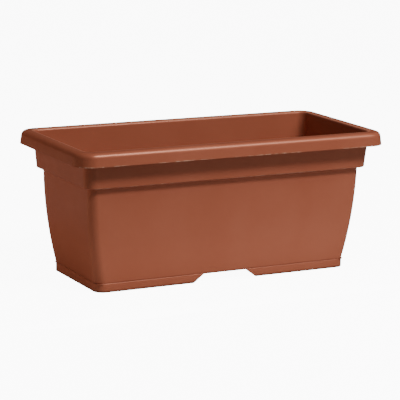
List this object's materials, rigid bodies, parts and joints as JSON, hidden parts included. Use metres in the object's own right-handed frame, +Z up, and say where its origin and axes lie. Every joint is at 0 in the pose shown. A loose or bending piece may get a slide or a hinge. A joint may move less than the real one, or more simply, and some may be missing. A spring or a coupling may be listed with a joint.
{
  "type": "window box planter",
  "caption": "Rectangular window box planter with a rolled rim, a stepped collar, tapered walls, a notched foot, a lift-out water reserve grid and drain plugs.",
  "frame": {"origin": "on the ground, under the middle of the box", "axes": "+X along the length, +Y across the width, +Z up towards the open mouth"},
  "size_m": [0.4, 0.19, 0.167],
  "materials": {
    "terracotta_plastic": "satin moulded polypropylene",
    "grid_plastic": "matte recycled polypropylene",
    "plug_plastic": "soft matte polyethylene"
  },
  "bodies": {
    "trough": {"planter_box": "terracotta_plastic"},
    "grid": {"reserve_grid": "grid_plastic"},
    "plug_left": {"drain_plug_left": "plug_plastic"},
    "plug_right": {"drain_plug_right": "plug_plastic"}
  },
  "joints": [
    {"name": "grid_lift", "type": "slide", "parent": "trough", "child": "grid", "axis": [0, 0, 1], "range_m": [0, 0.16]},
    {"name": "plug_left_pull", "type": "slide", "parent": "trough", "child": "plug_left", "axis": [0, 0, 1], "range_m": [0, 0.012]},
    {"name": "plug_right_pull", "type": "slide", "parent": "trough", "child": "plug_right", "axis": [0, 0, 1], "range_m": [0, 0.012]}
  ]
}
